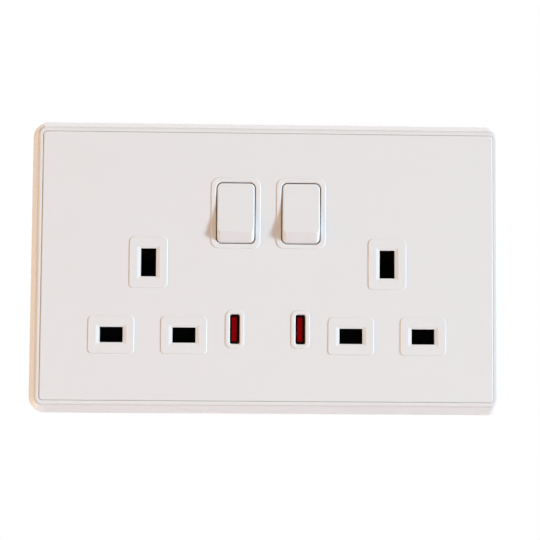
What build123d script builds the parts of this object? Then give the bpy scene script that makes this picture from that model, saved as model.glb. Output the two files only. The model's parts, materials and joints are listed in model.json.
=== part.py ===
import os
from math import cos, radians, sin, sqrt, tan

from build123d import *

# Twin switched socket-outlet with indicators, for a wall box.
# Modelled in plate axes: x to the right, y up the wall, z out of the wall towards the user.
# The wall is at z = 0. Each piece is turned at the end so that +Z is up and the front faces -Y.

# Pin pattern
pin_pitch = 22.2  # line to neutral, and their row to the earth pin
outlet_pitch = 73.4  # centre of one outlet to the other
pin_row_y = -21.25  # line and neutral row, from the plate's centre
slot_long = 7.1  # line and neutral slots, across
slot_short = 4.7  # narrow side of every slot
earth_slot_long = 8.65
slot_lead_side = 1.06  # lead-in at the left and right of each slot
slot_lead_end = 0.72  # lead-in above and below it
slot_lead_depth = 1.0
slot_land = 0.4  # straight throat behind the lead-in
line_pin_length = 17.7  # reach of a plug's line and neutral pins
earth_pin_length = 22.7
pin_thickness = 4.0

# Surround frame
frame_depth = 8.5  # wall to lip
skirt_flare = 2.9  # rim stands this far outside the lip
lip_width = 1.47  # at the sides
lip_end_width = 1.23  # above and below
lip_fillet = 1.1
rim_corner = 5.0
rim_wall = 2.4
floor_level = 4.0  # front of the mounting floor
floor_thickness = 2.0
fixing_offset = 6.45  # housing side to fixing hole centre
fixing_margin = 9.17  # fixing hole centre to fascia edge
fixing_hole_radius = 2.1
fixing_boss_radius = 4.2
fixing_boss_height = 0.8

# Fascia
fascia_proud = 0.2  # fascia stands this far above the lip
fascia_gap = 0.06
fascia_thickness = 2.2
fascia_corner = 1.1
fascia_fillet = 0.4
fascia_wall = 1.5
pad_height = 0.2
pad_bevel = 0.15
pad_corner = 1.4
line_pad_width = 14.1
line_pad_height = 11.6
earth_pad_width = 11.7
earth_pad_height = 15.7
rib_thickness = 1.2
rib_spacing = 44.0
clip_width = 6.0
clip_hook = 0.7
clip_hook_height = 1.0
clip_space = 1.19  # free room between the clip and the housing flange
clip_spacing = 92.0

# Switches
switch_pitch = 20.1
switch_y = 16.4
switch_width = 12.1  # opening in the fascia
switch_height = 19.05
switch_corner = 1.8
switch_rim = 1.52  # beside the opening
switch_rim_end = 1.39  # above and below it
switch_lead = 0.25  # chamfer round the opening
switch_rim_corner = 2.4
switch_pocket_ceiling = 1.1  # fascia left above the bearing pocket
rocker_gap = 0.3
rocker_end_gap = 0.15
rocker_tilt = 10.0  # either side of square
rocker_pivot_depth = 2.4  # below the switch rim
rocker_toe_length = 2.93  # fold to the lower end
rocker_fold_height = 3.2  # above the pivot
rocker_heel_height = 3.92
rocker_dish = 0.36  # face hollowed this deep between fold and heel
rocker_bevel = 40.0
rocker_shoulder = 1.1  # rounding beside the bevel
rocker_wall = 1.2
rocker_skirt = 2.0
rocker_corner = 1.5
rocker_edge = 0.35
rocker_pin_radius = 0.9
rocker_pin_length = 1.7
rocker_boss_radius = 2.4
rocker_boss_depth = 5.6
bearing_thickness = 1.6
bearing_height = 0.9
pivot_clearance = 0.08

# Switch mechanism
plunger_radius = 1.3
plunger_clearance = 0.12
plunger_top = 2.6  # below the rocker pivot
plunger_play = 0.3  # tip to blade
plunger_spring_wire = 0.3
plunger_spring_turns = 3
fulcrum_depth = 2.0  # below the parting line
blade_rise = 17.0  # each arm above the level
blade_swing = 12.0  # either side of square
blade_arm = 8.0
blade_overhang = 1.7  # blade past its contact
blade_width = 4.6
blade_thickness = 0.8
blade_contact_radius = 1.5
blade_contact_height = 0.8
fixed_contact_radius = 1.6
fixed_contact_height = 0.9
contact_play = 0.12
cradle_play = 0.25
cradle_ear_height = 1.6
cradle_length = 3.0

# Indicators
lens_pitch = 20.1
lens_y = -19.3
lens_width = 3.0  # opening in the fascia
lens_height = 9.05
lens_corner = 0.6
lens_rim = 1.35
lens_rim_corner = 1.9
lens_rim_height = 0.2
lens_lead = 0.3  # chamfer round the opening
lens_recess = 0.4
lens_gap = 0.08
lens_crown = 0.45
lens_flange = 1.1
lens_flange_thickness = 1.0
lamp_radius = 2.2
lamp_length = 11.0
lamp_shoulder = 1.0
cradle_rib = 1.2
cradle_wall = 0.6
cradle_drop = 0.4  # top of the ribs below the lamp's axis
resistor_radius = 1.1
resistor_length = 6.0
resistor_spacing = 3.3  # lamp end to resistor end
lead_radius = 0.3
lead_bend = 1.0
lead_run_offset = 7.45  # from the lamp's line to where the lead goes down

# Housings
housing_wall = 1.6
housing_corner = 2.5
deck_gap = 0.2  # below the fascia
deck_thickness = 1.8
chamber_depth = 5.3
cover_thickness = 1.2
cover_gap = 0.15
back_wall = 1.8
back_pillar = 2.7  # earth busbar above the back wall
flange_width = 2.0
flange_thickness = 1.5
slot_margin = 0.2  # slots behind the throat are this much wider all round
opening_gap = 0.25
ear_radius = 3.0
ear_offset = 2.6
ear_spacing = 60.0

# Shutters
shutter_overlap = 0.65  # past the slot at each end
shutter_top_overlap = 0.8
shutter_low_overlap = 1.2
shutter_thickness = 1.65
shutter_wall = 1.2
shutter_play = 0.25
slide_gap = 0.15
fork_arm = 2.0
fork_gap = 0.35
fork_reach = 6.0
shutter_travel = 5.6
ramp_clearance = 0.1
spring_length = 10.2
spring_radius = 1.7
spring_wire = 0.45
spring_turns = 5
spring_seat_half = 4.0
guide_thickness = 1.2

# Conductors and terminals
strip_thickness = 0.8
strip_width = 5.0
bar_width = 3.6
clip_leaf_width = 6.0
earth_leaf_width = 7.0
leaf_gap = 0.6  # contact leaf to the cover
leaf_root = 2.9
leaf_mouth_height = 1.5  # pinch to the open mouth
leaf_bend_height = 2.2  # bend to the pinch
leaf_pinch = 0.2
leaf_mouth = 3.2
pin_tip_gap = 0.5
neutral_drop = 7.25  # pin row to the neutral bar
earth_jog = 18.0  # half length of the raised middle of the earth bar
terminal_width = 9.0
terminal_length = 8.0
terminal_back_gap = 2.0
terminal_offset = 1.1  # line terminal above the line bar
terminal_room = 0.4
wire_hole_radius = 2.3
wire_channel = 9.0
bay_gap = 0.5
terminal_screw_radius = 1.7
terminal_head_radius = 2.7
terminal_head_height = 1.6
wire_depth = 4.0  # wire hole axis below the terminal's back
terminal_slot_width = 0.8
terminal_slot_depth = 0.8
pillar_half = 2.2

# Wire and fasteners
wire_sides = 6  # springs and leads are drawn as six-sided wire
coil_steps = 10  # stations in each turn of a spring
housing_screw_radius = 1.4
housing_head_radius = 2.4
housing_head_height = 1.8
housing_screw_bite = 5.0
column_radius = 2.4
column_inset = 4.25
column_top_inset = 3.7
column_bottom_inset = 3.3
screw_gap = 0.1
frame_screw_radius = 1.1
frame_head_radius = 2.0
frame_head_height = 1.2

# Levels out from the wall
face = frame_depth + fascia_proud
pad_face = face + pad_height
fascia_inner = face - fascia_thickness
floor_back = floor_level - floor_thickness
deck_top = fascia_inner - deck_gap
deck_bottom = deck_top - deck_thickness
cover_top = deck_bottom - chamber_depth
parting = cover_top - cover_thickness
flange_back = floor_back - flange_thickness
strip_top = pad_face - line_pin_length - pin_tip_gap
strip_bottom = strip_top - strip_thickness
earth_strip_top = pad_face - earth_pin_length - pin_tip_gap
earth_strip_bottom = earth_strip_top - strip_thickness
leaf_top = parting - leaf_gap
back_inner = earth_strip_bottom - back_pillar
back = back_inner - back_wall
terminal_back = back + terminal_back_gap
pivot_z = pad_face - rocker_pivot_depth
fulcrum_z = parting - fulcrum_depth
pocket_ceiling = face - switch_pocket_ceiling

# Places in the plate
earth_y = pin_row_y + pin_pitch
outlet_xs = [-outlet_pitch / 2, outlet_pitch / 2]
switch_xs = [-switch_pitch / 2, switch_pitch / 2]
lens_xs = [-lens_pitch / 2, lens_pitch / 2]
neutral_xs = [x - pin_pitch / 2 for x in outlet_xs]
line_xs = [x + pin_pitch / 2 for x in outlet_xs]
neutral_y = pin_row_y - neutral_drop
blade_tip_y = switch_y + blade_arm * cos(radians(blade_rise - blade_swing))
line_terminal_y = blade_tip_y + terminal_offset

# Housing outline
shutter_half = pin_pitch / 2 + slot_long / 2 + shutter_overlap
shutter_low = pin_row_y - slot_short / 2 - shutter_low_overlap
shutter_high = pin_row_y + slot_short / 2 + shutter_top_overlap
housing_half = outlet_pitch / 2 + shutter_half + shutter_play + housing_wall
housing_bottom = shutter_low - spring_length - housing_wall
housing_top = line_terminal_y + terminal_length / 2 + terminal_room + housing_wall
housing_width = 2 * housing_half
housing_height = housing_top - housing_bottom
housing_y = (housing_top + housing_bottom) / 2

# Fascia and frame outline
fixing_x = housing_half + fixing_offset
fascia_width = 2 * (fixing_x + fixing_margin)
fascia_height = 2 * (flange_width + clip_space + fascia_wall - housing_bottom)
pocket_width = fascia_width + 2 * fascia_gap
pocket_height = fascia_height + 2 * fascia_gap
lip_outer_width = pocket_width + 2 * lip_width
lip_outer_height = pocket_height + 2 * lip_end_width
rim_width = lip_outer_width + 2 * skirt_flare
rim_height = lip_outer_height + 2 * skirt_flare

# Switch and rocker sizes
rocker_half = switch_width / 2 - rocker_gap
rocker_crown = (rocker_fold_height + rocker_heel_height) / 2 - rocker_dish
lip_low = pocket_ceiling - pivot_z
rocker_end = sqrt((switch_height / 2 - rocker_end_gap) ** 2 + lip_low**2)
rocker_fold = rocker_end - rocker_toe_length
pocket_half_width = switch_width / 2 + switch_rim
pocket_half_height = switch_height / 2 + switch_rim / 2
well_half_width = rocker_half + opening_gap
well_half_height = rocker_end + opening_gap
plunger_tip = pivot_z - fulcrum_z - plunger_play
plunger_tip -= (blade_thickness / 2 + plunger_radius) / cos(radians(blade_rise))

# Screw places
column_places = [
    (side * (housing_half - column_inset), y)
    for side in (-1, 1)
    for y in (housing_bottom + column_bottom_inset, housing_top - column_top_inset)
]
ear_places = [
    (side * ear_spacing / 2, y)
    for side in (-1, 1)
    for y in (housing_bottom - ear_offset, housing_top + ear_offset)
]

nodes = {}


def block(x0, x1, y0, y1, z0, z1):
    middle = Pos((x0 + x1) / 2, (y0 + y1) / 2, (z0 + z1) / 2)
    return middle * Box(x1 - x0, y1 - y0, z1 - z0)


def slab(width, height, corner, z0, z1, x=0.0, y=0.0):
    return Pos(x, y, z0) * extrude(RectangleRounded(width, height, corner), z1 - z0)


def post(radius, z0, z1, x=0.0, y=0.0):
    return Pos(x, y, (z0 + z1) / 2) * Cylinder(radius, z1 - z0)


def group(pieces):
    return Compound([solid for piece in pieces for solid in piece.solids()])


def raised_slab(width, height, corner, top, bevel, x, y):
    pad = slab(width, height, corner, face - bevel, top, x, y)
    return chamfer(pad.faces().sort_by(Axis.Z)[-1].edges(), bevel)


def bent_strip(points, thickness):
    steps = [(Vector(*b) - Vector(*a)).normalized() for a, b in zip(points, points[1:])]
    sides = [Vector(-step.Y, step.X) for step in steps]
    mitres = [(a + b) / (1 + a.dot(b)) for a, b in zip(sides, sides[1:])]
    mitres = [sides[0], *mitres, sides[-1]]
    left = [Vector(*p) + m * (thickness / 2) for p, m in zip(points, mitres)]
    right = [Vector(*p) - m * (thickness / 2) for p, m in zip(points, mitres)]
    return make_face(Polyline(*left, *reversed(right), close=True))


def coil(radius, wire, length, turns):
    path = Helix(pitch=(length - wire) / turns, height=length - wire, radius=radius - wire / 2)
    steps = turns * coil_steps
    sections = []
    for step in range(steps + 1):
        station = Plane(origin=path @ (step / steps), x_dir=(0, 0, 1), z_dir=path % (step / steps))
        sections.append(station * RegularPolygon(wire / 2, wire_sides))
    return Pos(0, 0, wire / 2) * loft(sections, ruled=True)


def pin_slots():
    for x in neutral_xs + line_xs:
        yield x, pin_row_y, slot_long, slot_short
    for x in outlet_xs:
        yield x, earth_y, slot_short, earth_slot_long


def slot_cuts(margin, z0, z1):
    cuts = [
        block(x - w / 2 - margin, x + w / 2 + margin, y - h / 2 - margin, y + h / 2 + margin, z0, z1)
        for x, y, w, h in pin_slots()
    ]
    return Part() + cuts


# Surround frame
def clip_places():
    half_width = fascia_width / 2
    half_height = fascia_height / 2
    for side in (-1, 1):
        for x in (-clip_spacing / 2, clip_spacing / 2):
            yield x, side * half_height, 90 * side
        yield side * half_width, 0.0, 90 - 90 * side


def make_surround_frame():
    rim = RectangleRounded(rim_width, rim_height, rim_corner)
    lip = RectangleRounded(lip_outer_width, lip_outer_height, rim_corner - skirt_flare)
    frame = loft([rim, Pos(0, 0, frame_depth) * lip], ruled=True)
    frame = fillet(frame.faces().sort_by(Axis.Z)[-1].edges(), lip_fillet)
    frame -= slab(pocket_width, pocket_height, fascia_corner + fascia_gap, floor_level, face)
    recess_corner = rim_corner - rim_wall
    frame -= slab(rim_width - 2 * rim_wall, rim_height - 2 * rim_wall, recess_corner, 0, floor_back)
    opening_width = housing_width + 2 * opening_gap
    opening_height = housing_height + 2 * opening_gap
    opening_corner = housing_corner + opening_gap
    frame -= slab(opening_width, opening_height, opening_corner, floor_back, face, 0, housing_y)
    for x in (-fixing_x, fixing_x):
        frame += post(fixing_boss_radius, floor_level, floor_level + fixing_boss_height, x)
        frame -= post(fixing_hole_radius, floor_back, floor_level + fixing_boss_height, x)
    for x, y in ear_places:
        frame -= post(frame_screw_radius + screw_gap / 2, floor_back, floor_level, x, y)
    slot_depth = fascia_wall + 2 * opening_gap + fascia_gap
    for x, y, turn in clip_places():
        slot = block(-slot_depth, fascia_gap, -clip_width / 2, clip_width / 2, floor_back, floor_level)
        frame -= Pos(x, y) * Rot(0, 0, turn) * slot
    return frame


nodes["surround_frame"] = make_surround_frame()


# Fascia
def slot_cutter(width, height):
    mouth = Rectangle(width + 2 * slot_lead_side, height + 2 * slot_lead_end)
    throat = Rectangle(width, height)
    lead_in = loft([Pos(0, 0, -slot_lead_depth) * throat, mouth], ruled=True)
    land_end = slot_lead_depth + slot_land
    land = Pos(0, 0, -land_end) * extrude(throat, slot_land)
    drop = pad_face - fascia_inner
    relief = Rectangle(width + 2 * slot_margin, height + 2 * slot_margin)
    return lead_in + land + Pos(0, 0, -drop) * extrude(relief, drop - land_end)


def opening_cutter(width, height, corner, lead, bottom, top):
    mouth = RectangleRounded(width + 2 * lead, height + 2 * lead, corner + lead)
    throat = RectangleRounded(width, height, corner)
    lead_in = loft([Pos(0, 0, top - lead) * throat, Pos(0, 0, top) * mouth], ruled=True)
    return lead_in + slab(width, height, corner, bottom, top - lead)


def fascia_clip():
    tip = floor_back - clip_hook_height - slide_gap
    reach = fascia_gap + clip_hook
    side = [
        (-fascia_wall, floor_level),
        (-fascia_wall, tip),
        (0, tip),
        (reach, floor_back - slide_gap),
        (0, floor_back - slide_gap),
        (0, floor_level),
    ]
    profile = Plane.XZ * make_face(Polyline(*side, close=True))
    return extrude(profile, clip_width / 2 - opening_gap, both=True)


def make_fascia():
    plate = slab(fascia_width, fascia_height, fascia_corner, floor_level, face)
    plate = fillet(plate.faces().sort_by(Axis.Z)[-1].edges(), fascia_fillet)
    inner_width = fascia_width - 2 * fascia_wall
    inner_height = fascia_height - 2 * fascia_wall
    plate -= block(
        -inner_width / 2, inner_width / 2, -inner_height / 2, inner_height / 2, floor_level, fascia_inner
    )
    for x in neutral_xs + line_xs:
        plate += raised_slab(line_pad_width, line_pad_height, pad_corner, pad_face, pad_bevel, x, pin_row_y)
    for x in outlet_xs:
        plate += raised_slab(earth_pad_width, earth_pad_height, pad_corner, pad_face, pad_bevel, x, earth_y)
    rim_w = switch_width + 2 * switch_rim
    rim_h = switch_height + 2 * switch_rim_end
    for x in switch_xs:
        plate += raised_slab(rim_w, rim_h, switch_rim_corner, pad_face, pad_bevel, x, switch_y)
        plate -= slab(
            2 * pocket_half_width,
            2 * pocket_half_height,
            switch_corner,
            fascia_inner,
            pocket_ceiling,
            x,
            switch_y,
        )
        plate -= Pos(x, switch_y) * opening_cutter(
            switch_width, switch_height, switch_corner, switch_lead, pocket_ceiling, pad_face
        )
    for x in lens_xs:
        rim_w = lens_width + 2 * lens_rim
        rim_h = lens_height + 2 * lens_rim
        plate += raised_slab(rim_w, rim_h, lens_rim_corner, face + lens_rim_height, pad_bevel, x, lens_y)
        plate -= Pos(x, lens_y) * opening_cutter(
            lens_width, lens_height, lens_corner, lens_lead, fascia_inner, face + lens_rim_height
        )
    for x, y, width, height in pin_slots():
        plate -= Pos(x, y, pad_face) * slot_cutter(width, height)
    half = rib_thickness / 2
    for side in (-1, 1):
        edge = side * (fascia_width / 2 - fascia_wall)
        start = side * (housing_half + 2 * opening_gap)
        x0, x1 = sorted((edge, start))
        for y in (-rib_spacing / 2, rib_spacing / 2):
            plate += block(x0, x1, y - half, y + half, floor_level + slide_gap, fascia_inner)
    for x, y, turn in clip_places():
        plate += Pos(x, y) * Rot(0, 0, turn) * fascia_clip()
    return plate


nodes["fascia"] = make_fascia()


# Front housing
def bearing_posts():
    posts = []
    for x in switch_xs:
        for side in (-1, 1):
            inner = x + side * well_half_width
            x0, x1 = sorted((inner, inner + side * bearing_thickness))
            reach = 2 * rocker_pin_radius
            low, high = switch_y - reach, switch_y + reach
            posts.append(block(x0, x1, low, high, deck_top, deck_top + bearing_height))
    return posts


def make_front_housing():
    housing = slab(housing_width, housing_height, housing_corner, parting, deck_top, 0, housing_y)
    inner_corner = housing_corner - housing_wall
    housing -= slab(
        housing_width - 2 * housing_wall,
        housing_height - 2 * housing_wall,
        inner_corner,
        parting,
        deck_bottom,
        0,
        housing_y,
    )
    flange = slab(
        housing_width + 2 * flange_width,
        housing_height + 2 * flange_width,
        housing_corner + flange_width,
        flange_back,
        floor_back,
        0,
        housing_y,
    )
    for x, y in ear_places:
        flange += post(ear_radius, flange_back, floor_back, x, y)
    flange -= slab(housing_width, housing_height, housing_corner, flange_back, floor_back, 0, housing_y)
    housing += flange
    for x, y in ear_places:
        housing -= post(frame_screw_radius + screw_gap, flange_back, floor_back, x, y)
    for x, y in column_places:
        column = post(column_radius, parting, deck_bottom, x, y)
        housing += column
        housing -= post(housing_screw_radius + screw_gap / 2, parting, parting + housing_screw_bite, x, y)
    housing -= slot_cuts(slot_margin, deck_bottom, deck_top)
    housing += bearing_posts()
    for x in switch_xs:
        well = block(
            x - well_half_width,
            x + well_half_width,
            switch_y - well_half_height,
            switch_y + well_half_height,
            deck_bottom,
            deck_top,
        )
        housing -= well
        pin_slot = pivot_clearance + rocker_pin_radius
        reach = well_half_width + bearing_thickness
        housing -= block(x - reach, x + reach, switch_y - pin_slot, switch_y + pin_slot, pivot_z, face)
        trunnion = Pos(x, switch_y, pivot_z) * Rot(0, 90, 0) * Cylinder(pin_slot, 2 * reach)
        housing -= trunnion
    for x in lens_xs:
        half_w = lens_width / 2 + lens_flange + opening_gap
        half_h = lens_height / 2 + lens_flange + opening_gap
        housing -= block(x - half_w, x + half_w, lens_y - half_h, lens_y + half_h, deck_bottom, deck_top)
    guide_low = housing_bottom + housing_wall / 2
    for x, side in zip(outlet_xs, (1, -1)):
        inner = x + side * (shutter_half + shutter_play)
        x0, x1 = sorted((inner, inner + side * guide_thickness))
        housing += block(x0, x1, guide_low, shutter_high, cover_top + slide_gap, deck_bottom + slide_gap)
    return housing


nodes["front_housing"] = make_front_housing()


# Contact cover
def lamp_cradle(x, y, radius, length, axis_z):
    cradle = Part()
    for end in (-1, 1):
        middle = y + end * length / 4
        half = radius + cradle_wall
        low, high = middle - cradle_rib / 2, middle + cradle_rib / 2
        cradle += block(x - half, x + half, low, high, cover_top, axis_z - cradle_drop)
    groove = Pos(x, y, axis_z) * Rot(90, 0, 0) * Cylinder(radius + lens_gap, length)
    return cradle - groove


lamp_z = cover_top + lamp_radius + opening_gap
resistor_y = lens_y + lamp_length / 2 + resistor_spacing + resistor_length / 2
window_half_width = blade_width / 2 + bearing_thickness
window_half_height = blade_arm + blade_overhang + opening_gap


def make_contact_cover():
    inset = housing_wall + cover_gap
    cover = slab(
        housing_width - 2 * inset,
        housing_height - 2 * inset,
        housing_corner - housing_wall,
        parting,
        cover_top,
        0,
        housing_y,
    )
    cover -= slot_cuts(slot_margin, parting, cover_top)
    for x, y in column_places:
        corner_x = housing_half if x > 0 else -housing_half
        corner_y = housing_top if y > housing_y else housing_bottom
        reach = column_radius + cover_gap
        x0, x1 = sorted((x - reach if x > 0 else x + reach, corner_x))
        y0, y1 = sorted((y - reach if y > housing_y else y + reach, corner_y))
        cover -= block(x0, x1, y0, y1, parting, cover_top)
    for x in switch_xs:
        cover -= block(
            x - window_half_width,
            x + window_half_width,
            switch_y - window_half_height,
            switch_y + window_half_height,
            parting,
            cover_top,
        )
    for x, side in zip(lens_xs, (-1, 1)):
        cover += lamp_cradle(x, lens_y, lamp_radius, lamp_length, lamp_z)
        cover += lamp_cradle(x, resistor_y, resistor_radius, resistor_length, lamp_z)
        hole = lead_radius + opening_gap
        cover -= post(hole, parting, cover_top, x, neutral_y)
        cover -= post(hole, parting, cover_top, x + side * lead_run_offset, switch_y)
    return cover


nodes["contact_cover"] = make_contact_cover()


# Rear housing
terminal_places = {
    "line": (0.0, line_terminal_y),
    "earth": (0.0, earth_y),
    "neutral": (0.0, neutral_y),
}
channel_sides = {"line": -1, "earth": -1, "neutral": 1}


def pillars():
    places = []
    for x in switch_xs:
        places.append((x, switch_y, strip_bottom))
        places.append((x, blade_tip_y, line_bar_bottom))
    for x in line_xs:
        places.append((x, switch_y, strip_bottom))
    for x in line_xs + neutral_xs:
        places.append((x, pin_row_y, strip_bottom))
    for x in outlet_xs:
        places.append((x, earth_y, earth_strip_bottom))
    return places


line_bar_top = fulcrum_z - contact_play - fixed_contact_height


def arm_point(arm, side, along, below):
    rise = radians(blade_rise + side * arm)
    y = side * along * cos(rise) + side * below * sin(rise)
    z = along * sin(rise) - below * cos(rise)
    return y, z


closed_edge = arm_point(
    -blade_swing, 1, blade_arm - blade_contact_radius, blade_thickness / 2 + blade_contact_height
)
line_bar_top += closed_edge[1]
line_bar_bottom = line_bar_top - strip_thickness


def make_rear_housing():
    housing = slab(housing_width, housing_height, housing_corner, back, parting, 0, housing_y)
    housing -= slab(
        housing_width - 2 * housing_wall,
        housing_height - 2 * housing_wall,
        housing_corner - housing_wall,
        back_inner,
        parting,
        0,
        housing_y,
    )
    for x, y, top in pillars():
        housing += block(x - pillar_half, x + pillar_half, y - pillar_half, y + pillar_half, back_inner, top)
    for x, y in column_places:
        housing += post(column_radius, back_inner, parting, x, y)
        housing -= post(housing_screw_radius + screw_gap, back, parting, x, y)
    half = terminal_width / 2 + bay_gap
    for name, (x, y) in terminal_places.items():
        side = channel_sides[name]
        blind_end = y - side * (terminal_length / 2 + bay_gap)
        wire_end = y + side * (terminal_length / 2 + wire_channel)
        low, high = sorted((blind_end, wire_end))
        housing -= block(x - half, x + half, low, high, back, back_inner)
    return housing


nodes["rear_housing"] = make_rear_housing()


# Rockers, plungers and their springs
def rocker_outline(inset, skirt):
    radius = rocker_end - inset
    bevel = radians(rocker_bevel)
    fold = Vector(-rocker_fold + inset * tan(bevel / 2), rocker_fold_height - inset)
    slope = Vector(-cos(bevel), -sin(bevel))
    along = fold.dot(slope)
    reach = sqrt(along**2 - fold.dot(fold) + radius**2) - along
    toe = fold + slope * reach
    heel_height = rocker_heel_height - inset
    heel = Vector(sqrt(radius**2 - heel_height**2), heel_height)
    low = sqrt(radius**2 - skirt**2)
    edges = [
        SagittaArc(fold, heel, -rocker_dish),
        ThreePointArc(heel, (radius, 0), (low, -skirt)),
        Line((low, -skirt), (-low, -skirt)),
        ThreePointArc((-low, -skirt), (-radius, 0), toe),
        Line(toe, fold),
    ]
    return make_face(edges)


def make_rocker():
    body = extrude(Plane.YZ * rocker_outline(0, rocker_skirt), rocker_half, both=True)
    ends = body.edges().filter_by(GeomType.CIRCLE).sort_by(SortBy.RADIUS)[:4]
    body = fillet(ends, rocker_corner)
    bevel = body.faces().sort_by(Axis.Z)[-2]
    sides = bevel.edges().sort_by(Axis.X)
    body = fillet([sides[0], sides[-1]], rocker_shoulder)
    crown = body.faces().sort_by(Axis.Z)[-1]
    body = fillet(crown.edges(), rocker_edge)
    hollow = Plane.YZ * rocker_outline(rocker_wall, rocker_skirt + rocker_wall)
    body -= extrude(hollow, rocker_half - rocker_wall, both=True)
    body += post(rocker_boss_radius, -rocker_boss_depth, rocker_crown - rocker_wall / 2)
    body -= post(plunger_radius + plunger_clearance, -rocker_boss_depth, rocker_crown - 2 * rocker_wall)
    pin_reach = rocker_half + rocker_pin_length
    pin = Rot(0, 90, 0) * Cylinder(rocker_pin_radius, rocker_pin_length + rocker_wall)
    for side in (-1, 1):
        body += Pos(side * (pin_reach - (rocker_pin_length + rocker_wall) / 2), 0, 0) * pin
    return body


def make_plunger():
    pin = post(plunger_radius, -plunger_tip, -plunger_top)
    return pin + Pos(0, 0, -plunger_tip) * Sphere(plunger_radius)


def make_plunger_spring():
    length = rocker_crown - 2 * rocker_wall + plunger_top - 2 * screw_gap
    return Pos(0, 0, -plunger_top + screw_gap) * coil(
        plunger_radius, plunger_spring_wire, length, plunger_spring_turns
    )


for name, x in zip(("left", "right"), switch_xs):
    off = Pos(x, switch_y, pivot_z) * Rot(-rocker_tilt, 0, 0)
    nodes[f"rocker_{name}"] = off * make_rocker()
    nodes[f"plunger_{name}"] = off * make_plunger()
    nodes[f"plunger_spring_{name}"] = off * make_plunger_spring()


# Switch blades and contacts
def make_blade():
    rise = radians(blade_rise)
    reach = blade_arm + blade_overhang
    tips = [(side * reach * cos(rise), reach * sin(rise)) for side in (-1, 1)]
    outline = bent_strip([tips[0], (0, 0), tips[1]], blade_thickness)
    return extrude(Plane.YZ * outline, blade_width / 2, both=True)


def make_blade_contact():
    low = blade_thickness / 2 + blade_contact_height
    tip = post(blade_contact_radius, -low, -blade_thickness / 2, 0, blade_arm)
    return Rot(blade_rise, 0, 0) * tip


for name, x in zip(("left", "right"), switch_xs):
    opened = Pos(x, switch_y, fulcrum_z) * Rot(blade_swing, 0, 0)
    nodes[f"switch_blade_{name}"] = opened * make_blade()
    nodes[f"blade_contact_{name}"] = opened * make_blade_contact()


# Line busbar with its fixed contacts
def make_line_busbar():
    half = switch_pitch / 2 + strip_width / 2
    y = blade_tip_y
    return block(-half, half, y - strip_width / 2, y + strip_width / 2, line_bar_bottom, line_bar_top)


nodes["line_busbar"] = make_line_busbar()
rivet_top = line_bar_top + fixed_contact_height
fixed_contacts = [post(fixed_contact_radius, line_bar_top, rivet_top, x, blade_tip_y) for x in switch_xs]
nodes["fixed_contacts"] = group(fixed_contacts)


# Pin clips: two sprung leaves that rise from a strip
def leaf(side, low, width, plane):
    pinch = pin_thickness / 2 - leaf_pinch + strip_thickness / 2
    pinch_z = leaf_top - leaf_mouth_height
    points = [
        (side * leaf_root, low - strip_thickness / 2),
        (side * leaf_root, pinch_z - leaf_bend_height),
        (side * pinch, pinch_z),
        (side * leaf_mouth, leaf_top),
    ]
    return extrude(plane * bent_strip(points, strip_thickness), width / 2, both=True)


def pin_clip(x, y, low, width, plane):
    half = leaf_root + strip_thickness / 2
    across = (half, width / 2) if plane is Plane.XZ else (width / 2, half)
    base = block(-across[0], across[0], -across[1], across[1], low - strip_thickness, low)
    leaves = [leaf(side, low, width, plane) for side in (-1, 1)]
    return Pos(x, y) * (base + leaves)


def blade_cradle(x):
    top = fulcrum_z - blade_thickness / 2 / cos(radians(blade_rise)) - cradle_play
    half = blade_width / 2 + cradle_play
    y0 = switch_y - cradle_length / 2
    y1 = switch_y + cradle_length / 2
    knife = [
        (y0, strip_top),
        (y1, strip_top),
        (switch_y + strip_thickness / 2, top),
        (switch_y - strip_thickness / 2, top),
    ]
    cradle = Pos(x) * extrude(Plane.YZ * make_face(Polyline(*knife, close=True)), half, both=True)
    for side in (-1, 1):
        x0, x1 = sorted((x + side * half, x + side * (half + strip_thickness)))
        cradle += block(x0, x1, y0, y1, strip_bottom, fulcrum_z + cradle_ear_height)
    return cradle


def make_line_contact(x, pin_x):
    half = strip_width / 2
    x0, x1 = sorted((x, pin_x))
    strip = block(x0 - half, x1 + half, switch_y - half, switch_y + half, strip_bottom, strip_top)
    strip += block(pin_x - half, pin_x + half, pin_row_y, switch_y, strip_bottom, strip_top)
    return strip + pin_clip(pin_x, pin_row_y, strip_top, clip_leaf_width, Plane.YZ) + blade_cradle(x)


for name, x, pin_x in zip(("left", "right"), switch_xs, line_xs):
    nodes[f"line_contact_{name}"] = make_line_contact(x, pin_x)


# Neutral and earth busbars
def make_neutral_busbar():
    half = bar_width / 2
    low, high = neutral_y - half, neutral_y + half
    bar = block(neutral_xs[0] - half, neutral_xs[1] + half, low, high, strip_bottom, strip_top)
    for x in neutral_xs:
        bar += block(x - half, x + half, low, pin_row_y, strip_bottom, strip_top)
        bar += pin_clip(x, pin_row_y, strip_top, clip_leaf_width, Plane.YZ)
    return bar


def make_earth_busbar():
    jog_rise = strip_top - earth_strip_top
    points = [
        (outlet_xs[0], earth_strip_top - strip_thickness / 2),
        (-earth_jog - jog_rise / 2, earth_strip_top - strip_thickness / 2),
        (-earth_jog, strip_top - strip_thickness / 2),
        (earth_jog, strip_top - strip_thickness / 2),
        (earth_jog + jog_rise / 2, earth_strip_top - strip_thickness / 2),
        (outlet_xs[1], earth_strip_top - strip_thickness / 2),
    ]
    bar = Pos(0, earth_y) * extrude(Plane.XZ * bent_strip(points, strip_thickness), bar_width / 2, both=True)
    for x in outlet_xs:
        bar += pin_clip(x, earth_y, earth_strip_top, earth_leaf_width, Plane.XZ)
    return bar


nodes["neutral_busbar"] = make_neutral_busbar()
nodes["earth_busbar"] = make_earth_busbar()


# Terminals
bar_levels = {"line": line_bar_bottom, "earth": strip_bottom, "neutral": strip_bottom}
wire_z = terminal_back + wire_depth


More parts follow.
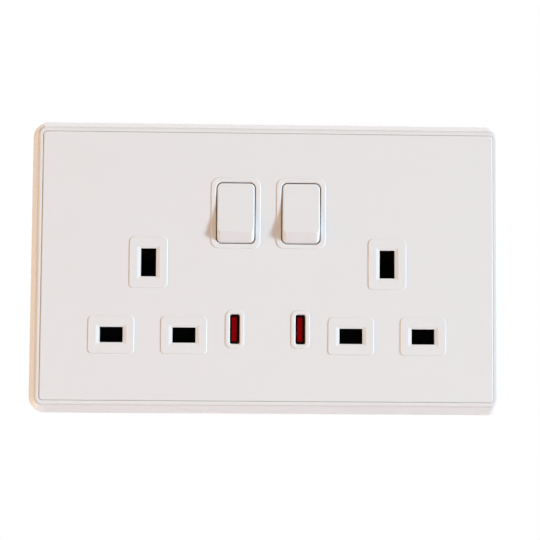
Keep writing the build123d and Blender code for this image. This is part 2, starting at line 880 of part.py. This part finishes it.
def make_terminal(name):
    x, y = terminal_places[name]
    half = terminal_width / 2
    terminal = block(
        x - half, x + half, y - terminal_length / 2, y + terminal_length / 2, terminal_back, bar_levels[name]
    )
    terminal -= Pos(x, y, wire_z) * Rot(90, 0, 0) * Cylinder(wire_hole_radius, terminal_length)
    terminal -= post(terminal_screw_radius + screw_gap / 2, terminal_back, wire_z, x, y)
    return terminal


def make_terminal_screw(x, y):
    head_back = terminal_back - terminal_head_height
    screw = post(terminal_head_radius, head_back, terminal_back, x, y)
    screw += post(terminal_screw_radius, terminal_back, wire_z - wire_hole_radius, x, y)
    half = terminal_slot_width / 2
    across = terminal_head_radius
    slot = block(-across, across, -half, half, head_back, head_back + terminal_slot_depth)
    return screw - Pos(x, y) * slot


for name in terminal_places:
    nodes[f"{name}_terminal"] = make_terminal(name)
terminal_screws = [make_terminal_screw(x, y) for x, y in terminal_places.values()]
nodes["terminal_screws"] = group(terminal_screws)


# Shutters and their springs
shutter_top = deck_bottom - slide_gap
shutter_bottom = cover_top + slide_gap
spring_z = shutter_bottom + spring_radius
ramp_foot = earth_y - earth_slot_long / 2 + shutter_travel - ramp_clearance
ramp_head = ramp_foot - shutter_travel


def make_shutter(x):
    plate_low = shutter_top - shutter_thickness
    shutter = block(-shutter_half, shutter_half, shutter_low, shutter_high, plate_low, shutter_top)
    for side in (-1, 1):
        x0, x1 = sorted((side * shutter_half, side * (shutter_half - shutter_wall)))
        shutter += block(x0, x1, shutter_low, shutter_high, shutter_bottom, shutter_top)
    seat_high = shutter_low + shutter_wall
    shutter += block(
        -spring_seat_half, spring_seat_half, shutter_low, seat_high, shutter_bottom, shutter_top
    )
    inner = slot_short / 2 + fork_gap
    fork_top = ramp_foot + fork_reach
    for side in (-1, 1):
        x0, x1 = sorted((side * inner, side * (inner + fork_arm)))
        shutter += block(x0, x1, shutter_high, fork_top, plate_low, shutter_top)
        shutter += block(x0, x1, ramp_head, fork_top, shutter_bottom, shutter_top)
    ramp = [
        (shutter_high, plate_low),
        (shutter_high, shutter_top),
        (ramp_head, shutter_top),
        (ramp_foot, shutter_bottom),
        (ramp_head, shutter_bottom),
        (ramp_head, plate_low),
    ]
    shutter += extrude(Plane.YZ * make_face(Polyline(*ramp, close=True)), inner, both=True)
    return Pos(x) * shutter


def make_shutter_spring(x):
    spring = coil(spring_radius, spring_wire, spring_length - 2 * screw_gap, spring_turns)
    return Pos(x, shutter_low - screw_gap, spring_z) * Rot(90, 0, 0) * spring


for name, x in zip(("left", "right"), outlet_xs):
    nodes[f"shutter_{name}"] = make_shutter(x)
    nodes[f"shutter_spring_{name}"] = make_shutter_spring(x)


# Indicator lenses, lamps, resistors and leads
def make_lens(x):
    width = lens_width - 2 * lens_gap
    height = lens_height - 2 * lens_gap
    front = face + lens_rim_height - lens_recess
    stem = slab(width, height, lens_corner - lens_gap, fascia_inner, front)
    stem = fillet(stem.faces().sort_by(Axis.Z)[-1].edges(), lens_crown)
    flange_width_across = lens_width + 2 * lens_flange
    flange_height = lens_height + 2 * lens_flange
    flange = slab(
        flange_width_across, flange_height, lens_corner, fascia_inner - lens_flange_thickness, fascia_inner
    )
    return Pos(x, lens_y) * (stem + flange)


def make_lamp(x):
    tube = Rot(90, 0, 0) * Cylinder(lamp_radius, lamp_length)
    ends = tube.edges().filter_by(GeomType.CIRCLE)
    return Pos(x, lens_y, lamp_z) * chamfer(ends, lamp_shoulder)


def make_resistor(x):
    return Pos(x, resistor_y, lamp_z) * Rot(90, 0, 0) * Cylinder(resistor_radius, resistor_length)


def lead(path):
    section = Plane(origin=path @ 0, z_dir=path % 0) * RegularPolygon(lead_radius, wire_sides)
    return sweep(section, path=path)


def make_leads(x, side):
    lamp_low = lens_y - lamp_length / 2
    lamp_high = lens_y + lamp_length / 2
    resistor_low = resistor_y - resistor_length / 2
    resistor_high = resistor_y + resistor_length / 2
    run_x = x + side * lead_run_offset
    turn_y = resistor_high + 2 * lead_bend
    to_neutral = [(x, lamp_low, lamp_z), (x, neutral_y, lamp_z), (x, neutral_y, strip_top)]
    to_line = [
        (x, resistor_high, lamp_z),
        (x, turn_y, lamp_z),
        (run_x, turn_y, lamp_z),
        (run_x, switch_y, lamp_z),
        (run_x, switch_y, strip_top),
    ]
    link = Line((x, lamp_high, lamp_z), (x, resistor_low, lamp_z))
    bends = [FilletPolyline(*points, radius=lead_bend) for points in (to_neutral, to_line)]
    return [lead(path) for path in (link, *bends)]


for name, x, side in zip(("left", "right"), lens_xs, (-1, 1)):
    nodes[f"indicator_lens_{name}"] = make_lens(x)
    nodes[f"indicator_lamp_{name}"] = make_lamp(x)
    nodes[f"resistor_{name}"] = make_resistor(x)
    nodes[f"indicator_leads_{name}"] = group(make_leads(x, side))


# Fasteners
def make_housing_screw(x, y):
    screw = post(housing_head_radius, back - housing_head_height, back, x, y)
    return screw + post(housing_screw_radius, back, parting + housing_screw_bite, x, y)


def make_frame_screw(x, y):
    screw = post(frame_head_radius, flange_back - frame_head_height, flange_back, x, y)
    return screw + post(frame_screw_radius, flange_back, floor_level, x, y)


nodes["housing_screws"] = group([make_housing_screw(x, y) for x, y in column_places])
nodes["frame_screws"] = group([make_frame_screw(x, y) for x, y in ear_places])

# Each piece is turned to stand on the wall and written by itself
os.makedirs("parts", exist_ok=True)
for name, piece in nodes.items():
    export_step(Rot(90, 0, 0) * piece, f"parts/{name}.step")
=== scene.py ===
import json
from math import radians

import bpy
from mathutils import Matrix, Vector


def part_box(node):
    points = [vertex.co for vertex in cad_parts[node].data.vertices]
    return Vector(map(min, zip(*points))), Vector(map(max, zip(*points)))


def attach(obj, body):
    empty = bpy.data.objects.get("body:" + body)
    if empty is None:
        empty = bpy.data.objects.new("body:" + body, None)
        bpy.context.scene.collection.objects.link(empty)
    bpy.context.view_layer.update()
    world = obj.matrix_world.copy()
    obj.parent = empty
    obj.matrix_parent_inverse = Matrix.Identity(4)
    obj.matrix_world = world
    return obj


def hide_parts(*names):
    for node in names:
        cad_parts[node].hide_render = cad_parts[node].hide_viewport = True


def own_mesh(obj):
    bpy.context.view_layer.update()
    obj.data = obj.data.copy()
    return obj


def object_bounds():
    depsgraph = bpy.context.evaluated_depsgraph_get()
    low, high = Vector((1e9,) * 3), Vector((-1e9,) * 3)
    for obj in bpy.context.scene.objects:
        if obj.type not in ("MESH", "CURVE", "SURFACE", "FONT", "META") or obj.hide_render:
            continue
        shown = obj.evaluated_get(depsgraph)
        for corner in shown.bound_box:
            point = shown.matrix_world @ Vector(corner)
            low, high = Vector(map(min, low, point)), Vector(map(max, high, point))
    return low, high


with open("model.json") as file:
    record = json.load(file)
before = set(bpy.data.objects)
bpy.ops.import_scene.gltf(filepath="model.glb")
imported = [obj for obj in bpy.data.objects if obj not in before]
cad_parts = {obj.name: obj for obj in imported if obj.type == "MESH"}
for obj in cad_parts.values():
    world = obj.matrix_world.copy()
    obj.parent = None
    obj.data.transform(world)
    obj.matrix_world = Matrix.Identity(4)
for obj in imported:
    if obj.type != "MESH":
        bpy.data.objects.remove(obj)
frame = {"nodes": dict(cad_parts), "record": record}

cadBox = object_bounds()  # straight after the load: the CAD model's box
nodeObjects = frame["nodes"]
slotOfNode = {part["node"]: part["material_slot"] for part in frame["record"]["subparts"]}
print("frame loaded:", len(nodeObjects), "nodes")


# Small helpers for the node materials

noiseLook = {
    "detail": {"flow": 3.0, "stain": 4.0, "fine": 2.0},
    "colourStops": (0.35, 0.65), "valueStops": (0.3, 0.7),  # where the noise reaches either end of a range
}


def newMaterial(name):
    material = bpy.data.materials.new(name)
    material.use_nodes = True
    tree = material.node_tree
    return material, tree, tree.nodes["Principled BSDF"]


def feed(tree, socket, value):
    if isinstance(value, bpy.types.NodeSocket):
        tree.links.new(value, socket)
    else:
        socket.default_value = value


def objectNoise(tree, scale, kind="fine"):
    place = tree.nodes.new("ShaderNodeTexCoord")
    noise = tree.nodes.new("ShaderNodeTexNoise")
    noise.inputs["Scale"].default_value = scale
    noise.inputs["Detail"].default_value = noiseLook["detail"][kind]
    tree.links.new(place.outputs["Object"], noise.inputs["Vector"])
    return noise.outputs["Fac"]


def axesFromMiddle(tree, low, high):
    place = tree.nodes.new("ShaderNodeTexCoord")
    centred = tree.nodes.new("ShaderNodeMapping")
    centred.inputs["Location"].default_value = -(low + high) / 2
    axes = tree.nodes.new("ShaderNodeSeparateXYZ")
    tree.links.new(place.outputs["Object"], centred.inputs["Vector"])
    tree.links.new(centred.outputs["Vector"], axes.inputs["Vector"])
    return axes.outputs


def mathOf(tree, operation, *values):
    node = tree.nodes.new("ShaderNodeMath")
    node.operation = operation
    for socket, value in zip(node.inputs, values):
        feed(tree, socket, value)
    return node.outputs["Value"]


def spreadOver(tree, value, reach, result=(0.0, 1.0), course="LINEAR"):
    spread = tree.nodes.new("ShaderNodeMapRange")
    spread.interpolation_type = course
    spread.inputs["From Min"].default_value, spread.inputs["From Max"].default_value = reach
    spread.inputs["To Min"].default_value, spread.inputs["To Max"].default_value = result
    tree.links.new(value, spread.inputs["Value"])
    return spread.outputs["Result"]


def colourBetween(tree, factor, colours):
    ramp = tree.nodes.new("ShaderNodeValToRGB")
    for element, colour, stop in zip(ramp.color_ramp.elements, colours, noiseLook["colourStops"]):
        element.position = stop
        element.color = (*colour, 1.0)
    tree.links.new(factor, ramp.inputs["Fac"])
    return ramp.outputs["Color"]


def colourMix(tree, factor, first, second):
    mix = tree.nodes.new("ShaderNodeMix")
    mix.data_type = "RGBA"
    tree.links.new(factor, mix.inputs["Factor"])
    feed(tree, mix.inputs["A"], first)
    feed(tree, mix.inputs["B"], second)
    return mix.outputs["Result"]


def colourAndGloss(tree, shader, look, colourNoise, glossNoise):
    gloss = spreadOver(tree, glossNoise, noiseLook["valueStops"], look["roughness"])
    feed(tree, shader.inputs["Base Color"], colourBetween(tree, colourNoise, look["colours"]))
    feed(tree, shader.inputs["Roughness"], gloss)


def bumpFrom(tree, shader, look, height):
    bump = tree.nodes.new("ShaderNodeBump")
    bump.inputs["Strength"].default_value = look["bump"]
    bump.inputs["Distance"].default_value = look["bumpDepth"]
    tree.links.new(height, bump.inputs["Height"])
    tree.links.new(bump.outputs["Normal"], shader.inputs["Normal"])


# Moulded plastics

whiteMoulding = {
    "colours": ((0.801, 0.775, 0.753), (0.804, 0.778, 0.756)),
    "roughness": (0.265, 0.275), "flowScale": 14.0, "skinScale": 900.0,
    "bump": 0.02, "bumpDepth": 0.0001, "specular": 0.18,
}
whiteRocker = dict(
    whiteMoulding, colours=((0.799, 0.773, 0.751), (0.803, 0.777, 0.755)), flowScale=40.0,
    pinLength=0.00168, pinShadeColour=(0.02, 0.02, 0.02),  # painted shade: the pivot pins are painted near-black, as the shade in the gap beside the rocker
)
# black plastic, painted darker than real black plastic so that the slot interiors go black as deep shade:
# partly painted shade
blackMouldingAndShade = {
    "colours": ((0.0008, 0.0008, 0.0008), (0.0016, 0.0016, 0.0016)),
    "roughness": (0.7, 0.85), "flowScale": 60.0, "skinScale": 1500.0,
    "bump": 0.15, "bumpDepth": 0.0001, "specular": 0.03,
}
greyMoulding = {
    "colours": ((0.50, 0.50, 0.49), (0.525, 0.525, 0.515)),
    "roughness": (0.42, 0.55), "flowScale": 40.0, "skinScale": 1200.0,
    "bump": 0.2, "bumpDepth": 0.0001, "specular": 0.4,
}
naturalNylon = dict(greyMoulding, colours=((0.78, 0.75, 0.66), (0.84, 0.82, 0.74)), roughness=(0.35, 0.45))
resistorLacquer = dict(greyMoulding, colours=((0.55, 0.40, 0.22), (0.64, 0.50, 0.30)), roughness=(0.3, 0.4))


def mouldedPlastic(name, look):
    material, tree, shader = newMaterial(name)
    flow = objectNoise(tree, look["flowScale"], "flow")
    colourAndGloss(tree, shader, look, flow, flow)
    bumpFrom(tree, shader, look, objectNoise(tree, look["skinScale"]))
    shader.inputs["Specular IOR Level"].default_value = look["specular"]
    return material


def rockerPlastic(name, look, low, high):
    material = mouldedPlastic(name, look)
    tree = material.node_tree
    baseColour = tree.nodes["Principled BSDF"].inputs["Base Color"]
    white = baseColour.links[0].from_socket
    # painted shade: near the rocker's two ends the white gives way to near-black over the pivot pins, as the
    # shade in the gap beside the rocker
    aside = mathOf(tree, "ABSOLUTE", axesFromMiddle(tree, low, high)["X"])
    pinInShade = mathOf(tree, "GREATER_THAN", aside, (high.x - low.x) / 2 - look["pinLength"])
    feed(tree, baseColour, colourMix(tree, pinInShade, white, (*look["pinShadeColour"], 1.0)))
    return material


# Metals

pressedBrass = {
    "colours": ((0.42, 0.29, 0.11), (0.55, 0.39, 0.16)), "roughness": (0.38, 0.55),
    "stainScale": 120.0, "grainScale": 1400.0, "bump": 0.1, "bumpDepth": 0.00005,
}
# painted shade: brass darkened to the shade deep behind the earth slots, and rougher
shadedBrass = dict(pressedBrass, colours=((0.05, 0.036, 0.016), (0.08, 0.056, 0.024)), roughness=(0.6, 0.75))
silverTip = dict(pressedBrass, colours=((0.80, 0.79, 0.76), (0.90, 0.89, 0.87)))
springWire = dict(pressedBrass, colours=((0.50, 0.50, 0.50), (0.62, 0.62, 0.62)))
platedSteel = dict(pressedBrass, colours=((0.42, 0.41, 0.385), (0.55, 0.54, 0.51)))
tinnedWire = dict(pressedBrass, colours=((0.70, 0.70, 0.69), (0.80, 0.80, 0.79)))


def wornMetal(name, look):
    material, tree, shader = newMaterial(name)
    stain = objectNoise(tree, look["stainScale"], "stain")
    grain = objectNoise(tree, look["grainScale"])
    colourAndGloss(tree, shader, look, stain, grain)
    bumpFrom(tree, shader, look, grain)
    shader.inputs["Metallic"].default_value = 1.0
    return material


# Glass of the indicator lamps, and the red lenses before them

clearGlass = {
    "colours": ((0.86, 0.82, 0.78), (0.96, 0.94, 0.92)), "roughness": (0.02, 0.1),
    "hazeScale": 300.0, "clearness": 0.9,
}
# painted shade: a near-black border round the red middle, wider on the right, stands in for the recess
# wall's shadow and the dark bevelled edges of the lens
redPlastic = {
    "colours": ((0.205, 0.0003, 0.0010), (0.240, 0.0004, 0.0014)), "roughness": (0.16, 0.26),
    "hazeScale": 700.0, "specular": 0.025, "edge": (0.0085, 0.0004, 0.0008), "blur": 0.00022,
    "core": {"left": -0.00093, "right": 0.00052, "low": -0.00362, "high": 0.00360},  # bounds of the unshaded red middle, from the lens's middle
}


def lampGlass(name, look):
    material, tree, shader = newMaterial(name)
    haze = objectNoise(tree, look["hazeScale"])
    colourAndGloss(tree, shader, look, haze, haze)
    shader.inputs["Transmission Weight"].default_value = look["clearness"]
    return material


def redLens(name, look, low, high):
    material, tree, shader = newMaterial(name)
    haze = objectNoise(tree, look["hazeScale"])
    colourAndGloss(tree, shader, look, haze, haze)
    shader.inputs["Specular IOR Level"].default_value = look["specular"]
    axes = axesFromMiddle(tree, low, high)
    unshadedCore = 1.0
    for axis, side, outward in (("X", "left", -1), ("X", "right", 1), ("Z", "low", -1), ("Z", "high", 1)):
        blur = outward * look["blur"]
        reach = (look["core"][side] + blur, look["core"][side] - blur)
        fade = spreadOver(tree, axes[axis], reach, course="SMOOTHSTEP")
        unshadedCore = mathOf(tree, "MULTIPLY", unshadedCore, fade)
    # painted shade: outside the core the lens takes the near-black edge colour
    baseColour = shader.inputs["Base Color"]
    red = baseColour.links[0].from_socket
    feed(tree, baseColour, colourMix(tree, unshadedCore, (*look["edge"], 1.0), red))
    return material


# One finish for each material slot, and for the nodes that need their own

finishes = {
    "white_moulding": mouldedPlastic("whiteMoulding", whiteMoulding),
    "black_moulding": mouldedPlastic("blackMouldingAndShade", blackMouldingAndShade),
    "grey_moulding": mouldedPlastic("greyMoulding", greyMoulding),
    "nylon": mouldedPlastic("naturalNylon", naturalNylon),
    "resistor_lacquer": mouldedPlastic("resistorLacquer", resistorLacquer),
    "brass": wornMetal("pressedBrass", pressedBrass),
    "shaded_brass": wornMetal("shadedBrass", shadedBrass),
    "silver": wornMetal("silverTip", silverTip),
    "spring_steel": wornMetal("springWire", springWire),
    "plated_steel": wornMetal("platedSteel", platedSteel),
    "tinned_wire": wornMetal("tinnedWire", tinnedWire),
    "lamp_glass": lampGlass("lampGlass", clearGlass),
}


def finishOf(name):
    slot = slotOfNode[name]
    if slot == "red_lens":
        return redLens(name + "Red", redPlastic, *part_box(name))
    if slot == "white_rocker":
        return rockerPlastic(name + "White", whiteRocker, *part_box(name))
    if name == "earth_busbar":  # painted shade: brass darkened to the shade deep behind the earth slots
        return finishes["shaded_brass"]
    return finishes[slot]


for nodeName, nodeObject in nodeObjects.items():
    nodeObject.data.materials.clear()
    nodeObject.data.materials.append(finishOf(nodeName))
print("finishes:", len(finishes))


# Small helpers for the modelled pieces

def deselectAll():
    bpy.ops.object.select_all(action="DESELECT")


def selectPieces(pieces):
    deselectAll()
    for piece in pieces:
        piece.select_set(True)
    bpy.context.view_layer.objects.active = pieces[0]


def applyPlace():
    bpy.ops.object.transform_apply(location=True, rotation=True, scale=True)


def joined(pieces):
    selectPieces(pieces)
    bpy.ops.object.join()
    applyPlace()
    return bpy.context.object


def shiftedCopy(piece, shift):
    selectPieces([piece])
    bpy.ops.object.duplicate()
    bpy.ops.transform.translate(value=shift)
    applyPlace()
    return bpy.context.object


def repeated(piece, places):
    return [piece] + [shiftedCopy(piece, place - places[0]) for place in places[1:]]


def selectFaces(piece, wanted):
    bpy.ops.object.mode_set(mode="EDIT")
    bpy.ops.mesh.select_mode(type="FACE")  # only in this mode do the faces' own marks count
    bpy.ops.mesh.select_all(action="DESELECT")
    bpy.ops.object.mode_set(mode="OBJECT")
    for face in piece.data.polygons:
        face.select = wanted(face)
    bpy.ops.object.mode_set(mode="EDIT")


# Screws with a cross recess, in place of the plain ones in the CAD model

screwLooks = {
    "housing_screws": {"head": 0.0024, "height": 0.0018, "shank": 0.0014, "edge": 0.0007},
    "frame_screws": {"head": 0.0020, "height": 0.0012, "shank": 0.0011, "edge": 0.0005},
}
recessLook = {"reach": 0.62, "width": 0.26, "depth": 0.6}  # shares of the head's radius and height
screwSmoothness = {"sides": 32, "edgeSteps": 4, "angle": 35}


def roundRod(radius, bottom, top, x, z):
    deselectAll()
    bpy.ops.mesh.primitive_cylinder_add(vertices=screwSmoothness["sides"], radius=radius, depth=top - bottom,
                                        location=(x, (bottom + top) / 2, z), rotation=(radians(-90), 0, 0))
    return bpy.context.object


def roundTopEdge(rod, width):
    top = max(rod.data.polygons, key=lambda face: face.center.z).index  # z still runs along the rod
    selectFaces(rod, lambda face: face.index == top)
    bpy.ops.mesh.region_to_loop()
    bpy.ops.mesh.bevel(offset=width, segments=screwSmoothness["edgeSteps"])
    bpy.ops.object.mode_set(mode="OBJECT")


def cutRecess(head, look, x, top, z):
    reach = 2 * recessLook["reach"] * look["head"]
    width = recessLook["width"] * look["head"]
    depth = 2 * recessLook["depth"] * look["height"]
    for size in ((reach, depth, width), (width, depth, reach)):
        bpy.ops.mesh.primitive_cube_add(size=1, location=(x, top, z), scale=size)
        cutter = bpy.context.object
        selectPieces([head])
        cut = head.modifiers.new("recess", "BOOLEAN")
        cut.object = cutter
        cut.operation = "DIFFERENCE"
        cut.solver = "EXACT"
        bpy.ops.object.modifier_apply(modifier=cut.name)
        bpy.data.objects.remove(cutter)


def crossScrews(node, pieceName):
    look = screwLooks[node]
    low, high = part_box(node)
    seat = high.y - look["height"]
    across = (low.x + look["head"], high.x - look["head"])
    upright = (low.z + look["head"], high.z - look["head"])
    places = [Vector((x, 0, z)) for x in across for z in upright]
    x, z = across[0], upright[0]
    head = roundRod(look["head"], seat, high.y, x, z)
    roundTopEdge(head, look["edge"])
    cutRecess(head, look, x, high.y, z)
    shank = roundRod(look["shank"], low.y, seat, x, z)
    screws = joined(repeated(joined([head, shank]), places))
    bpy.ops.object.shade_smooth_by_angle(angle=radians(screwSmoothness["angle"]))
    screws.name = pieceName
    screws.data.materials.append(finishes["plated_steel"])
    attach(screws, "socket_body")
    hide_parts(node)


crossScrews("housing_screws", "housingScrews")
crossScrews("frame_screws", "frameScrews")
print("screws placed")


# Return springs under the shutters

springLook = {"wire": 0.00045, "turns": 5, "wireSides": 12, "turnSteps": 24, "smoothAngle": 50}


def returnSpring(node, pieceName):
    low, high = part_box(node)
    middle = (low + high) / 2
    length = high.z - low.z
    wire = springLook["wire"]
    deselectAll()
    bpy.ops.mesh.primitive_circle_add(vertices=springLook["wireSides"], radius=wire / 2,
                                      location=(middle.x, middle.y, low.z + wire / 2),
                                      rotation=(radians(90), 0, 0))
    spring = bpy.context.object
    bpy.ops.object.transform_apply(location=False, rotation=True, scale=True)
    bpy.ops.object.mode_set(mode="EDIT")
    bpy.ops.mesh.select_all(action="SELECT")
    bpy.ops.transform.translate(value=((high.x - low.x - wire) / 2, 0, 0))
    bpy.ops.object.mode_set(mode="OBJECT")
    wind = spring.modifiers.new("wind", "SCREW")
    wind.axis = "Z"
    wind.angle = radians(360)
    wind.iterations = springLook["turns"]
    wind.screw_offset = (length - wire) / springLook["turns"]
    wind.steps = springLook["turnSteps"]
    wind.render_steps = springLook["turnSteps"]
    bpy.ops.object.modifier_apply(modifier=wind.name)
    bpy.ops.object.mode_set(mode="EDIT")
    bpy.ops.mesh.select_all(action="SELECT")
    bpy.ops.mesh.fill_holes(sides=0)
    bpy.ops.mesh.select_all(action="SELECT")
    bpy.ops.mesh.normals_make_consistent(inside=False)
    bpy.ops.object.mode_set(mode="OBJECT")
    applyPlace()
    bpy.ops.object.shade_smooth_by_angle(angle=radians(springLook["smoothAngle"]))
    spring.name = pieceName
    spring.data.materials.append(finishes["spring_steel"])
    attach(spring, "socket_body")
    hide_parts(node)
    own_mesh(spring)


returnSpring("shutter_spring_left", "shutterSpringLeft")
returnSpring("shutter_spring_right", "shutterSpringRight")
print("springs wound")


# Shallow lead-ins round the pin slots, over the steeper ones in the CAD model

slotLook = {
    "pitch": 0.0222,  # from pin to pin, and from their row up to the earth pin
    "long": 0.0071, "short": 0.0047, "earthLong": 0.00865,  # the throats
    "side": 0.00106, "end": 0.00072,  # how much wider the mouth is than the throat
    "depth": 0.00025, "seat": 0.0010,  # of the shallow slope, and of the steep one under it
    "touch": 0.000001,  # points closer than this are one
}


def slotLead(place, width, height):
    look = slotLook
    mouthWidth = width + 2 * look["side"]
    mouthHeight = height + 2 * look["end"]
    deselectAll()
    bpy.ops.mesh.primitive_plane_add(size=1, location=place, rotation=(radians(90), 0, 0))
    lead = bpy.context.object
    lead.scale = (mouthWidth, mouthHeight, 1)
    applyPlace()
    bpy.ops.object.mode_set(mode="EDIT")
    bpy.ops.mesh.select_all(action="SELECT")
    slope = ((width / mouthWidth, 1, height / mouthHeight), look["depth"])
    throat = ((1, 1, 1), look["seat"] - look["depth"])
    back = ((mouthWidth / width, 1, mouthHeight / height), -look["seat"])
    for size, sink in (slope, throat, back):
        bpy.ops.mesh.extrude_region_move()
        bpy.ops.transform.resize(value=size, center_override=place)
        bpy.ops.transform.translate(value=(0, sink, 0))
    selectFaces(lead, lambda face: (face.center - place).length < look["touch"])  # caps across the slot
    bpy.ops.mesh.delete(type="ONLY_FACE")
    bpy.ops.mesh.select_all(action="SELECT")
    bpy.ops.mesh.remove_doubles(threshold=look["touch"])
    bpy.ops.mesh.normals_make_consistent(inside=False)
    bpy.ops.object.mode_set(mode="OBJECT")
    return lead


def slotLeads(pieceName):
    look = slotLook
    pinAside = Vector((look["pitch"] / 2, 0, 0))
    earthAbove = Vector((0, 0, look["pitch"]))
    mounts = frame["record"]["mounts"]
    outlets = [Vector(mount["pos_m"]) for mount in mounts if mount["name"].endswith("_outlet")]
    pinSlots = [outlet + side * pinAside for outlet in outlets for side in (-1, 1)]
    earthSlots = [outlet + earthAbove for outlet in outlets]
    leads = repeated(slotLead(pinSlots[0], look["long"], look["short"]), pinSlots)
    leads += repeated(slotLead(earthSlots[0], look["short"], look["earthLong"]), earthSlots)
    piece = joined(leads)
    piece.name = pieceName
    piece.data.materials.append(finishes["white_moulding"])
    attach(piece, "socket_body")


slotLeads("slotLeads")
print("slot leads set")


# Rays that show the white background: seen straight, in a shine or through glass

def seenRays(tree):
    rays = tree.nodes.new("ShaderNodeLightPath").outputs
    seen = mathOf(tree, "MAXIMUM", rays["Is Camera Ray"], rays["Is Glossy Ray"])
    return mathOf(tree, "MAXIMUM", seen, rays["Is Transmission Ray"])


# Floor below the socket, which hangs where a wall would hold it

floorLook = {
    "drop": 0.9, "size": 8.0, "colours": ((0.79, 0.82, 0.86), (0.8058, 0.8364, 0.8772)), "mottleScale": 3.0,
    "roughness": 0.9, "specular": 0.1,
    "glow": (0.55, 1.0), "reach": (0.8, 2.6),  # glows to plain white away from the socket
}


def paleFloor(look):
    deselectAll()
    bpy.ops.mesh.primitive_plane_add(size=look["size"], location=(0, 0, cadBox[0].z - look["drop"]))
    floor = bpy.context.object
    floor.name = "paleFloor"
    material, tree, shader = newMaterial("paleFloor")
    mottle = objectNoise(tree, look["mottleScale"])
    feed(tree, shader.inputs["Base Color"], colourBetween(tree, mottle, look["colours"]))
    shader.inputs["Roughness"].default_value = look["roughness"]
    shader.inputs["Specular IOR Level"].default_value = look["specular"]
    shader.inputs["Emission Color"].default_value = (1, 1, 1, 1)
    place = tree.nodes.new("ShaderNodeTexCoord")
    away = tree.nodes.new("ShaderNodeVectorMath")
    away.operation = "LENGTH"
    tree.links.new(place.outputs["Object"], away.inputs[0])
    glow = spreadOver(tree, away.outputs["Value"], look["reach"], look["glow"])
    feed(tree, shader.inputs["Emission Strength"], mathOf(tree, "MULTIPLY", seenRays(tree), glow))
    floor.data.materials.append(material)


paleFloor(floorLook)
print("floor laid")


# Light: cool key from the right, warm light from the left, weak lamps below, above the back and behind

surroundColour = (0.258, 0.131, 0.034)
lampLooks = {
    "key": {"from": (0.871, -0.407, 0.275), "distance": 6.0, "size": 1.1,
            "power": 519.0, "colour": (0.62, 0.832, 1.0), "shine": True},
    "warm": {"from": (-0.95, -0.30, 0.10), "distance": 3.0, "size": 1.8,
             "power": 42.0, "colour": (1.0, 0.67, 0.35), "shine": True},
    "low": {"from": (-0.25, -0.65, -0.72), "distance": 1.1, "size": 0.5,
            "power": 1.55, "colour": (0.92, 0.74, 1.0), "shine": True},
    "rim": {"from": (0.0, 0.85, 0.45), "distance": 2.5, "size": 1.8,
            "power": 7.0, "colour": (0.9, 0.88, 1.0), "shine": True},
    "rear": {"from": (0.0, 1.0, 0.02), "distance": 3.0, "size": 0.4,
             "power": 34.0, "colour": (0.91, 0.96, 1.0), "shine": False},  # keeps the screws from glaring
}


def softLamp(name, look):
    place = Vector(look["from"]).normalized() * look["distance"]
    bpy.ops.object.light_add(type="AREA", location=place)
    lamp = bpy.context.object
    lamp.name = name
    lamp.data.size = look["size"]
    lamp.data.energy = look["power"]
    lamp.data.color = look["colour"]
    lamp.rotation_euler = (-place).to_track_quat("-Z", "Y").to_euler()
    lamp.visible_camera = False
    lamp.visible_glossy = look["shine"]


def paleWorld(colour):
    world = bpy.data.worlds.new("paleWorld")
    world.use_nodes = True
    bpy.context.scene.world = world
    tree = world.node_tree
    surround = tree.nodes["Background"]
    surround.inputs["Color"].default_value = (*colour, 1)
    white = tree.nodes.new("ShaderNodeBackground")
    white.inputs["Color"].default_value = (1, 1, 1, 1)
    mix = tree.nodes.new("ShaderNodeMixShader")
    tree.links.new(seenRays(tree), mix.inputs["Fac"])
    tree.links.new(surround.outputs["Background"], mix.inputs[1])
    tree.links.new(white.outputs["Background"], mix.inputs[2])
    tree.links.new(mix.outputs["Shader"], tree.nodes["World Output"].inputs["Surface"])


paleWorld(surroundColour)
for lampName, lampLook in lampLooks.items():
    softLamp(lampName + "Lamp", lampLook)
print("light set")


# Camera: nearly square to the plate, a little below its middle

cameraLook = {
    "distance": 0.400, "lens": 84.90, "sensor": 36.0, "near": 0.01,
    "nod": -3.61, "turn": 1.42, "roll": -0.44, "aside": -0.00081, "up": 0.00053,
}


def photoCamera(look):
    turned = Matrix.Rotation(radians(look["roll"]), 3, "Z") @ Matrix.Rotation(radians(look["nod"]), 3, "X")
    turned = turned @ Matrix.Rotation(radians(look["turn"]), 3, "Y")
    upright = Matrix.Rotation(radians(90), 3, "X")  # plate axes to the part's axes
    aim = upright @ turned.transposed()
    data = bpy.data.cameras.new("photoCamera")
    data.lens = look["lens"]
    data.sensor_width = look["sensor"]
    data.clip_start = look["near"]
    camera = bpy.data.objects.new("photoCamera", data)
    bpy.context.scene.collection.objects.link(camera)
    place = aim @ Vector((-look["aside"], -look["up"], look["distance"]))
    camera.matrix_world = Matrix.Translation(place) @ aim.to_4x4()
    bpy.context.scene.camera = camera


photoCamera(cameraLook)
bpy.context.scene.view_settings.view_transform = "Standard"
print("camera set")
